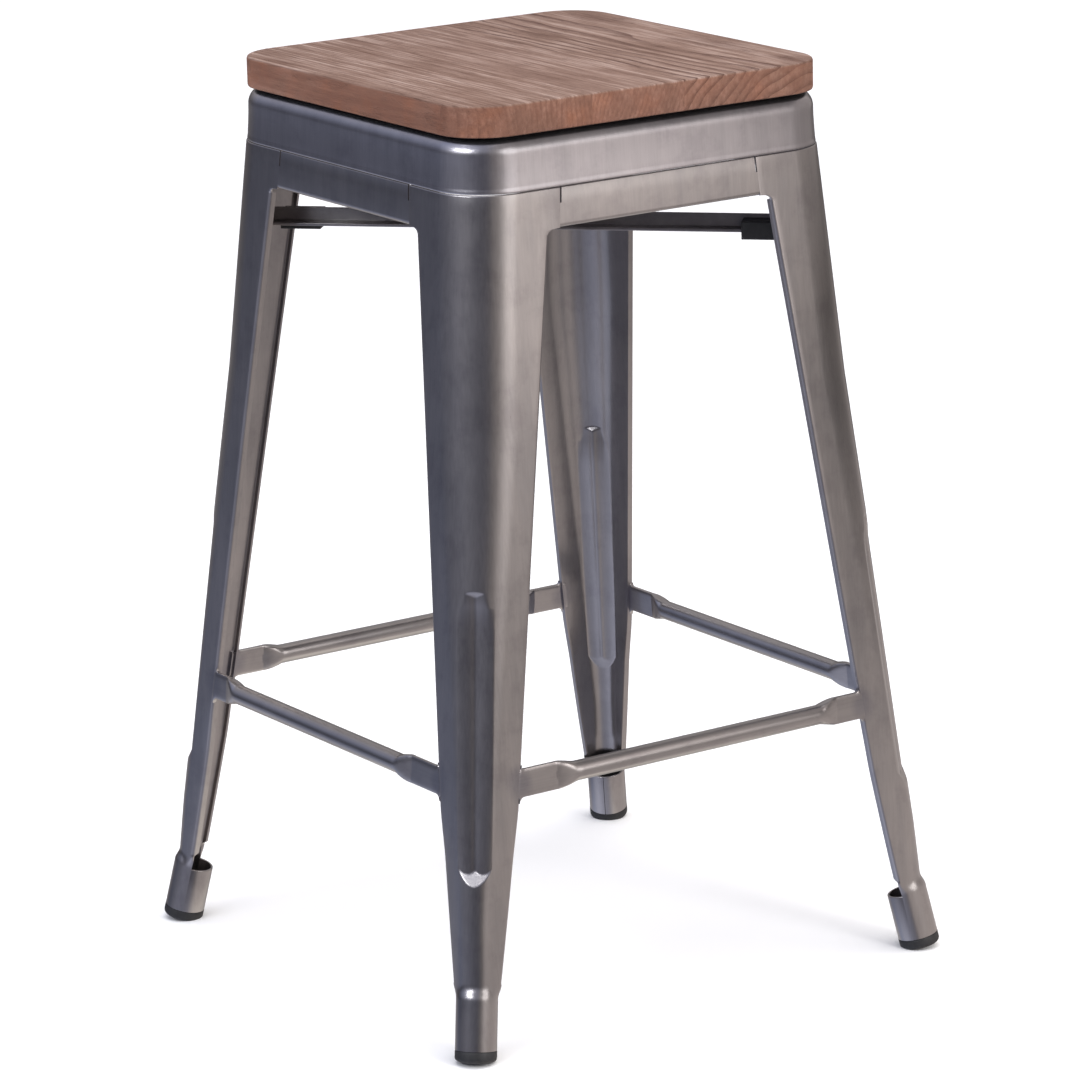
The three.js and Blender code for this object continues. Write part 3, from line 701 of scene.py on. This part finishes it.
def leg_mesh():
    outer, inner = [], []
    for ease, drop in RIM:
        outer.append(leg_path(LEG_TOP - drop, ease))
        inner.append(leg_path(LEG_TOP - drop, SHEET))
    for z in leg_stations():
        outer.append(leg_path(z, 0))
        inner.append(leg_path(z, SHEET))
    count = len(outer[0])
    steps = 16
    # The wing edges turn into the tube later than the corner between them.
    delays = 0.45 * np.abs(np.linspace(-1, 1, count)) ** 3
    for k in range(1, steps + 1):
        z = NECK_TOP + 3 * MM - NECK_LENGTH * k / steps
        axial = z / math.cos(FOOT_TILT)
        for stations, inset in ((outer, 0), (inner, SHEET)):
            leg = np.array(leg_path(z, inset))
            foot = np.array(foot_path(axial, inset, count))
            share = np.array([[smooth((k / steps - delay) / (1 - delay))] for delay in delays])
            stations.append([tuple(p) for p in leg * (1 - share) + foot * share])
    for axial in np.linspace(TUBE_TOP, SOCKET_BOTTOM, 8):
        outer.append(foot_path(axial, 0, count))
        inner.append(foot_path(axial, SHEET, count))
    return sheet_loft(outer, inner)


def socket_mesh():
    """The inner half of the rolled foot: two curved flaps that meet at a seam."""
    parts = []
    for side in (1, -1):
        outer, inner = [], []
        low, high = SOCKET_BOTTOM, SOCKET_TOP / math.cos(FOOT_TILT) - 1 * MM
        levels = [(low, 0), (high - 0.5 * MM, 0), (high - 0.15 * MM, 0.12 * MM), (high, 0.45 * MM)]
        for axial, ease in levels:
            angles = [side * (FOOT_REACH + (math.pi - FOOT_SEAM - FOOT_REACH) * i / 22) for i in range(23)]
            if side > 0:
                angles = angles[::-1]
            outer.append([on_foot(a, FOOT_RADIUS - ease, axial) for a in angles])
            inner.append([on_foot(a, FOOT_RADIUS - SHEET + ease * 0.9, axial) for a in angles])
        outer.reverse()
        inner.reverse()
        parts.append(sheet_loft(outer, inner))
    return joined(*parts)


def legs():
    sheet = leg_mesh()
    socket = socket_mesh()
    plane = face_half(RAIL_HEIGHT)
    edge = plane - wing_width(RAIL_HEIGHT) - 2 * MM
    for i, (corner, (sx, sy)) in enumerate(CORNERS.items()):
        spots = [(sx * edge, sy * plane, RAIL_HEIGHT), (sx * plane, sy * edge, RAIL_HEIGHT)]
        welds = [(spot, LEG_WELD_REACH) for spot in spots]
        material = steel(f"leg_steel_{corner}", LIGHT_STEEL, DARK_STEEL, 5.1 + 3.7 * i, welds=welds)
        points, faces = mirrored(*joined(sheet, socket), sx, sy)
        piece = piece_from(f"leg_sheet_{corner}", points, faces, material, 48)
        finish_piece(piece, "clear_coated_steel", f"leg_{corner}")


# ---- aprons ----
def aprons():
    rim = len(RIM)
    fold = [i / 6 * math.pi / 2 for i in range(1, 7)]
    fold_middle = APRON_BOTTOM + FOLD_RADIUS
    section = [(ease, LEG_TOP - drop) for ease, drop in RIM]
    section += [(0, LEG_TOP - SLIT_HEIGHT), (0, APRON_BOTTOM + 3 * MM)]
    inner = [(SHEET, z) for _, z in section]
    section += [(FOLD_RADIUS * (1 - math.cos(a)), fold_middle - FOLD_RADIUS * math.sin(a)) for a in fold]
    section.append((FOLD_DEPTH, APRON_BOTTOM))
    tight = FOLD_RADIUS - SHEET
    inner += [(FOLD_RADIUS - tight * math.cos(a), fold_middle - tight * math.sin(a)) for a in fold]
    inner.append((FOLD_DEPTH, APRON_BOTTOM + SHEET))

    def end_at(z):
        return SHOULDER_EDGE + face_half(z) - face_half(LEG_TOP)

    def path(points, x_of):
        return [(x_of(z), face_half(z) - inset, z) for inset, z in points]

    def panel(points, inside, x_low, x_high):
        return sheet_loft(
            [path(points, x_high), path(points, x_low)],
            [path(inside, x_high), path(inside, x_low)],
        )

    body = panel(section, inner, lambda z: -end_at(z) + SLIT_WIDTH, lambda z: end_at(z) - SLIT_WIDTH)
    low, low_in = section[rim:], inner[rim:]
    right = panel(low, low_in, lambda z: end_at(z) - SLIT_WIDTH, end_at)
    left = panel(low, low_in, lambda z: -end_at(z), lambda z: -end_at(z) + SLIT_WIDTH)
    points, faces = joined(body, right, left)
    for quarter, side in enumerate(("back", "left", "front", "right")):
        material = steel(f"apron_steel_{side}", LIGHT_STEEL, DARK_STEEL, 4.2 + 2.9 * quarter)
        piece = piece_from(f"apron_panel_{side}", turned(points, quarter), faces, material, 40)
        finish_piece(piece, "clear_coated_steel", f"apron_{side}")


# ---- footrest rails ----
# Flattened length at the two ends of each rail, the counter-clockwise end first, in millimetres.
STRIPS = {"front": (20.5, 27.5), "left": (31, 15.5), "back": (22, 24), "right": (27, 22)}


def rail_section(u, strip, count=44):
    """Cross-section of a rail at distance u from its end: weld fillet, flat strip, crease, round tube."""
    t = min(1.0, max(0.0, (u - strip) / RAIL_BLEND))
    depth = STRIP_THICKNESS / 2 + (RAIL_RADIUS - STRIP_THICKNESS / 2) * math.sin(t * math.pi / 2)
    height = STRIP_HALF + (RAIL_RADIUS - STRIP_HALF) * smooth(t * 1.1)
    past = min(WELD_FILLET, abs(u) * (1 if u > 0 else 2))
    fillet = WELD_FILLET - math.sqrt(WELD_FILLET ** 2 - (WELD_FILLET - past) ** 2)
    power = 7 - 5 * min(1.0, t * 1.3)
    ring = []
    for i in range(count):
        angle = (i + 0.5) / count * 2 * math.pi
        c, s = math.cos(angle), math.sin(angle)
        scale = (abs(c) ** power + abs(s) ** power) ** (-1 / power)
        grown = height + fillet * (1.25 if s < 0 else 0.8)
        ring.append((depth * c * scale, grown * s * scale))
    return ring


def rail_mesh(strip_low, strip_high):
    """A rail along X at the +Y side; strip_low is the flattened length at its -X end."""
    end = face_half(RAIL_HEIGHT) - wing_width(RAIL_HEIGHT)
    plane = face_half(RAIL_HEIGHT) - RAIL_INSET
    lean = math.atan(FACE_SPLAY)
    rings = []

    def section_at(side, u, strip):
        slope = side * EDGE_SLOPE * max(0.0, 1 - max(0.0, u) / EDGE_REACH)
        sunk = STRIP_SINK * (1 - smooth((u + STRIP_LAP) / STRIP_LAP))
        ring = []
        for d, h in rail_section(u, strip):
            x = side * (end - u) - h * slope
            y = plane - sunk + d * math.cos(lean) - h * math.sin(lean)
            ring.append((x, y, RAIL_HEIGHT + h * math.cos(lean) + d * math.sin(lean)))
        return ring

    for side, strip in ((-1, strip_low), (1, strip_high)):
        along = [-STRIP_LAP * (1 - i / 12) for i in range(12)]
        along += [0, 0.15 * MM, 0.5 * MM, 1.1 * MM, 2 * MM, 3 * MM, WELD_FILLET, 6 * MM]
        along += [strip - 0.5 * MM, strip - 0.02 * MM]
        along += [strip + RAIL_BLEND * i / 16 for i in range(17)]
        if side > 0:
            along.reverse()
        rings += [section_at(side, u, strip) for u in along]
    return ring_loft(rings[::-1])


def rails():
    plane = face_half(RAIL_HEIGHT)
    reach = plane - wing_width(RAIL_HEIGHT)
    for quarter, side in enumerate(("back", "left", "front", "right")):
        low, high = STRIPS[side]
        points, faces = rail_mesh(low * MM, high * MM)
        along = "x" if side in ("front", "back") else "y"
        ends = turned([(-reach, plane, RAIL_HEIGHT), (reach, plane, RAIL_HEIGHT)], quarter)
        welds = [(end, RAIL_WELD_REACH) for end in ends]
        seed = 8.8 + 1.7 * quarter
        material = steel(f"rail_steel_{side}", LIGHT_STEEL, DARK_STEEL, seed, along, welds=welds)
        piece = piece_from(f"rail_tube_{side}", turned(points, quarter), faces, material, 22)
        finish_piece(piece, "clear_coated_steel", f"footrest_rail_{side}")


# ---- glides, then bumpers, brace and screws, which take their shape from the CAD ----
def rounded_copy(node, name, material, width, segments=3, angle=30):
    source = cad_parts[node]
    piece = bpy.data.objects.new(name, source.data.copy())
    bpy.context.scene.collection.objects.link(piece)
    piece.data.materials.clear()
    piece.data.materials.append(material)
    weld = piece.modifiers.new("weld", "WELD")
    weld.merge_threshold = 0.00005
    bevel = piece.modifiers.new("bevel", "BEVEL")
    bevel.width = width
    bevel.segments = segments
    bevel.limit_method = "ANGLE"
    bevel.angle_limit = math.radians(angle)
    bevel.harden_normals = False
    piece.data.shade_smooth()
    piece.data.set_sharp_from_angle(angle=math.radians(angle))
    return piece


def glide_mesh():
    lip = FOOT_RADIUS + 0.1 * MM
    lift = math.tan(FOOT_TILT) * (lip - 3 * MM) - 1.9 * MM
    top = GLIDE_TOP
    profile = [(0, lift - 0.4 * MM), (lip - 6 * MM, lift - 0.25 * MM), (lip - 3.4 * MM, lift + 0.1 * MM)]
    for i in range(1, 8):
        a = i / 7 * math.pi / 2
        out = GLIDE_ROUND * (1 - math.sin(a))
        profile.append((lip - out, lift + 0.2 * MM + GLIDE_ROUND * (1 - math.cos(a))))
    profile += [(lip, top - 0.5 * MM), (lip - 0.15 * MM, top - 0.12 * MM), (lip - 0.5 * MM, top)]
    stem = FOOT_RADIUS - SHEET - 0.2 * MM
    end = top + PLUG_LENGTH
    profile += [(stem, top), (stem, end - 2 * MM), (stem - 1.5 * MM, end), (0, end)]
    rings = []
    for radius, axial in profile:
        ring = [on_foot(2 * math.pi * i / 56, max(radius, 0.05 * MM), axial) for i in range(56)]
        rings.append([(x, y, max(z, 0.0)) for x, y, z in ring])
    return ring_loft(rings)


def glides():
    points, faces = glide_mesh()
    for i, (corner, (sx, sy)) in enumerate(CORNERS.items()):
        black = plastic(f"glide_black_{corner}", PIT_BLACK, i)
        piece = piece_from(f"glide_plug_{corner}", *mirrored(points, faces, sx, sy), black, 40)
        finish_piece(piece, "black_plastic", f"glide_{corner}")


def small_pieces():
    for i, bar in enumerate(("full", "front", "back")):
        metal = steel(f"brace_steel_{bar}", RAW_LIGHT, RAW_DARK, 1.3 + 2.1 * i, "x", (0.3, 0.46))
        piece = rounded_copy(f"brace_bar_{bar}", f"brace_angle_{bar}", metal, 0.4 * MM)
        finish_piece(piece, "dark_steel", f"brace_bar_{bar}")
    for i, corner in enumerate(CORNERS):
        black = plastic(f"bumper_black_{corner}", PIT_BLACK, 6 + i)
        piece = rounded_copy(f"bumper_{corner}", f"bumper_block_{corner}", black, 0.7 * MM)
        finish_piece(piece, "black_plastic", f"bumper_{corner}")
        zinc = steel(f"screw_zinc_{corner}", (0.7, 0.7, 0.66), (0.5, 0.5, 0.48), 12 + i)
        piece = rounded_copy(f"seat_screw_{corner}", f"screw_{corner}", zinc, 0.15 * MM, 2)
        finish_piece(piece, "zinc_plated_screw", f"seat_screw_{corner}")


# ---- floor, light and camera ----
FLOOR_HALF = 9
# Wall tone against the azimuth it stands at, in degrees from -Y towards +X.
STUDIO_WALLS = [
    (-180, (0.26, 0.25, 0.26)),
    (-160, (0.21, 0.215, 0.26)),
    (-145, (0.17, 0.192, 0.275)),
    (-115, (0.27, 0.285, 0.36)),
    (-95, (0.28, 0.295, 0.38)),
    (-60, (0.17, 0.178, 0.23)),
    (-24, (0.16, 0.162, 0.2)),
    (20, (0.46, 0.43, 0.41)),
    (70, (0.45, 0.42, 0.4)),
    (120, (0.22, 0.205, 0.2)),
    (180, (0.26, 0.25, 0.26)),
]
# Brightness of the walls against half the sine of the elevation plus a half, so 0.5 is the horizon.
STUDIO_HEIGHTS = [
    (0.0, (2.6, 2.6, 2.5)),
    (0.25, (2.4, 2.4, 2.3)),
    (0.33, (1.5, 1.5, 1.5)),
    (0.39, (1.15, 1.15, 1.15)),
    (0.43, (0.45, 0.44, 0.43)),
    (0.5, (0.4, 0.38, 0.37)),
    (0.58, (0.8, 0.8, 0.8)),
    (0.72, (1.9, 1.9, 1.9)),
    (1.0, (2.2, 2.2, 2.2)),
]
# Brightness of the warm card against height above the floor in metres, on its left and on its right part.
CARD_LEFT = [(-0.3, 0.62), (0.05, 0.6), (0.1, 0.5), (0.17, 0.42), (0.24, 0.54), (0.31, 0.63), (0.38, 0.78),
             (0.44, 0.92), (1.2, 1.0)]
CARD_RIGHT = [(-0.3, 0.7), (0.03, 0.68), (0.12, 0.57), (0.2, 0.42), (0.3, 0.25), (0.42, 0.12), (0.47, 0.4),
              (1.2, 0.6)]
CARD_CHANGE = (-0.075, -0.035)  # where along the card the left part gives way to the right one
CARD_FADE = (-0.98, -0.62)  # where the card fades in from its dim left end
CARD_FADE_LEAN = 1.8  # how far the fade moves to the right per metre above CARD_FADE_LEVEL
CARD_FADE_LEVEL = 0.35
CARD_DIM = 0.3
CARD_LOW = -0.5
CARD_HIGH = 1.7

# The camera looks at a point near the stool's axis. Angles are in degrees, lengths in metres.
CAMERA_AZIMUTH = -34.399
CAMERA_ELEVATION = 14.971
CAMERA_ROLL = -1.281
CAMERA_DISTANCE = 3.4894
CAMERA_LENS = 171.85  # in millimetres
TARGET_HEIGHT = 0.278991
TARGET_SIDE = 0.001208


def stage():
    mesh = bpy.data.meshes.new("floor")
    corners = [(sx * FLOOR_HALF, sy * FLOOR_HALF, 0) for sx, sy in ((-1, -1), (1, -1), (1, 1), (-1, 1))]
    mesh.from_pydata(corners, [], [(0, 1, 2, 3)])
    floor = bpy.data.objects.new("floor", mesh)
    bpy.context.scene.collection.objects.link(floor)
    material, nodes, links, shader = new_material("floor_white")
    shader.inputs["Base Color"].default_value = (0.95, 0.95, 0.95, 1)
    shader.inputs["Roughness"].default_value = 0.9
    shader.inputs["Specular IOR Level"].default_value = 0.0
    mesh.materials.append(material)
    floor.visible_glossy = False


def area_light(name, place, target, width, height, power, colour=(1, 1, 1)):
    data = bpy.data.lights.new(name, "AREA")
    data.shape = "RECTANGLE"
    data.size = width
    data.size_y = height
    data.energy = power
    data.color = colour
    light = bpy.data.objects.new(name, data)
    light.location = place
    light.rotation_euler = (Vector(target) - Vector(place)).to_track_quat("-Z", "Y").to_euler()
    light.visible_camera = False
    bpy.context.scene.collection.objects.link(light)
    return light


def sun_light(name, tilt, strength, spread):
    """Even light from above for the wood and the floor; the metal doesn't mirror it."""
    data = bpy.data.lights.new(name, "SUN")
    data.energy = strength
    data.angle = math.radians(spread)
    sun = bpy.data.objects.new(name, data)
    sun.rotation_euler = tilt
    sun.visible_glossy = False
    bpy.context.scene.collection.objects.link(sun)


def light_card(name, place, turn, left, right, colour, left_levels, right_levels):
    """A standing card that only the metal mirrors; it changes with height and from left to right."""
    mesh = bpy.data.meshes.new(name)
    low, high = CARD_LOW, CARD_HIGH
    mesh.from_pydata([(left, 0, low), (right, 0, low), (right, 0, high), (left, 0, high)], [], [(0, 1, 2, 3)])
    card = bpy.data.objects.new(name, mesh)
    card.location = place
    card.rotation_euler = (0, 0, turn)
    bpy.context.scene.collection.objects.link(card)
    material, nodes, links, shader = new_material(name)
    split = nodes.new("ShaderNodeSeparateXYZ")
    links.new(nodes.new("ShaderNodeTexCoord").outputs["Object"], split.inputs[0])
    rise = maths(nodes, links, "SUBTRACT", split.outputs["Z"], low)
    share = maths(nodes, links, "DIVIDE", rise, high - low)
    glows = []
    for levels in (left_levels, right_levels):
        stops = [((z - low) / (high - low), tuple(c * level for c in colour)) for z, level in levels]
        glow = ramp(nodes, stops)
        links.new(share, glow.inputs[0])
        glows.append(glow.outputs[0])
    across = nodes.new("ShaderNodeMapRange")
    across.interpolation_type = "SMOOTHSTEP"
    across.inputs["From Min"].default_value = CARD_CHANGE[0]
    across.inputs["From Max"].default_value = CARD_CHANGE[1]
    links.new(split.outputs["X"], across.inputs["Value"])
    links.new(blend_colour(nodes, links, across.outputs[0], *glows), shader.inputs["Emission Color"])
    # The left end is dim and fades in, further to the right the higher up.
    above = maths(nodes, links, "SUBTRACT", split.outputs["Z"], CARD_FADE_LEVEL)
    above = maths(nodes, links, "MAXIMUM", above, 0)
    fade = nodes.new("ShaderNodeMapRange")
    fade.interpolation_type = "SMOOTHSTEP"
    fade.inputs["From Min"].default_value = CARD_FADE[0]
    fade.inputs["From Max"].default_value = CARD_FADE[1]
    fade.inputs["To Min"].default_value = CARD_DIM
    lean = maths(nodes, links, "MULTIPLY", above, CARD_FADE_LEAN)
    links.new(maths(nodes, links, "SUBTRACT", split.outputs["X"], lean), fade.inputs["Value"])
    links.new(fade.outputs[0], shader.inputs["Emission Strength"])
    shader.inputs["Base Color"].default_value = (0, 0, 0, 1)
    mesh.materials.append(material)
    card.visible_camera = False
    card.visible_diffuse = False
    card.visible_shadow = False


def world_light():
    """A studio around the stool: bright warm wall to the right of the camera, dim cool wall to the left."""
    world = bpy.data.worlds.new("studio")
    bpy.context.scene.world = world
    world.use_nodes = True
    nodes, links = world.node_tree.nodes, world.node_tree.links
    place = nodes.new("ShaderNodeTexCoord").outputs["Generated"]
    split = nodes.new("ShaderNodeSeparateXYZ")
    links.new(place, split.inputs[0])
    forward = maths(nodes, links, "MULTIPLY", split.outputs["Y"], -1)
    turn = maths(nodes, links, "ARCTAN2", split.outputs["X"], forward)
    share = maths(nodes, links, "ADD", maths(nodes, links, "DIVIDE", turn, 2 * math.pi), 0.5)
    around = ramp(nodes, [(at / 360 + 0.5, tone) for at, tone in STUDIO_WALLS])
    links.new(share, around.inputs[0])
    height = ramp(nodes, STUDIO_HEIGHTS)
    half_up = maths(nodes, links, "MULTIPLY", split.outputs["Z"], 0.5)
    links.new(maths(nodes, links, "ADD", half_up, 0.5), height.inputs[0])
    colour = blend_colour(nodes, links, 1.0, around.outputs[0], height.outputs[0], "MULTIPLY")
    links.new(colour, nodes["Background"].inputs["Color"])
    nodes["Background"].inputs["Strength"].default_value = 1.0


def camera():
    azimuth, elevation, roll = (math.radians(a) for a in (CAMERA_AZIMUTH, CAMERA_ELEVATION, CAMERA_ROLL))
    level = math.cos(elevation)
    back = Vector((math.sin(azimuth) * level, -math.cos(azimuth) * level, math.sin(elevation)))
    right = Vector((math.cos(azimuth), math.sin(azimuth), 0))
    up = back.cross(right)
    side = right * math.cos(roll) + up * math.sin(roll)
    head = up * math.cos(roll) - right * math.sin(roll)
    target = Vector((0, 0, TARGET_HEIGHT)) + side * TARGET_SIDE
    data = bpy.data.cameras.new("camera")
    data.sensor_width = 36
    data.lens = CAMERA_LENS
    data.clip_end = 60
    eye = bpy.data.objects.new("camera", data)
    place = target + back * CAMERA_DISTANCE
    eye.matrix_world = Matrix((
        (side.x, head.x, back.x, place.x),
        (side.y, head.y, back.y, place.y),
        (side.z, head.z, back.z, place.z),
        (0, 0, 0, 1),
    ))
    bpy.context.scene.collection.objects.link(eye)
    bpy.context.scene.camera = eye


camera()
stage()
world_light()
warm = (0.86, 0.77, 0.735)
light_card("warm_card", (0.354, -0.421, 0), math.radians(40), -1.25, 1.5, warm, CARD_LEFT, CARD_RIGHT)
area_light("softbox_front", (0.6, -2.7, 1.25), (0, 0, 0.3), 0.7, 0.9, 26, (1, 0.98, 0.96))
area_light("softbox_left", (-2.56, -0.45, 1.75), (0, 0, 0.4), 1.7, 0.7, 26, (0.95, 0.97, 1))
area_light("softbox_top", (-0.3, 0.2, 2.6), (0, 0, 0.3), 1.8, 1.8, 12)
sun_light("sky", (math.radians(18), math.radians(12), 0), 2.0, 100)
bpy.context.scene.view_settings.view_transform = "Standard"

seat_board()
seat_pan()
legs()
aprons()
rails()
glides()
small_pieces()
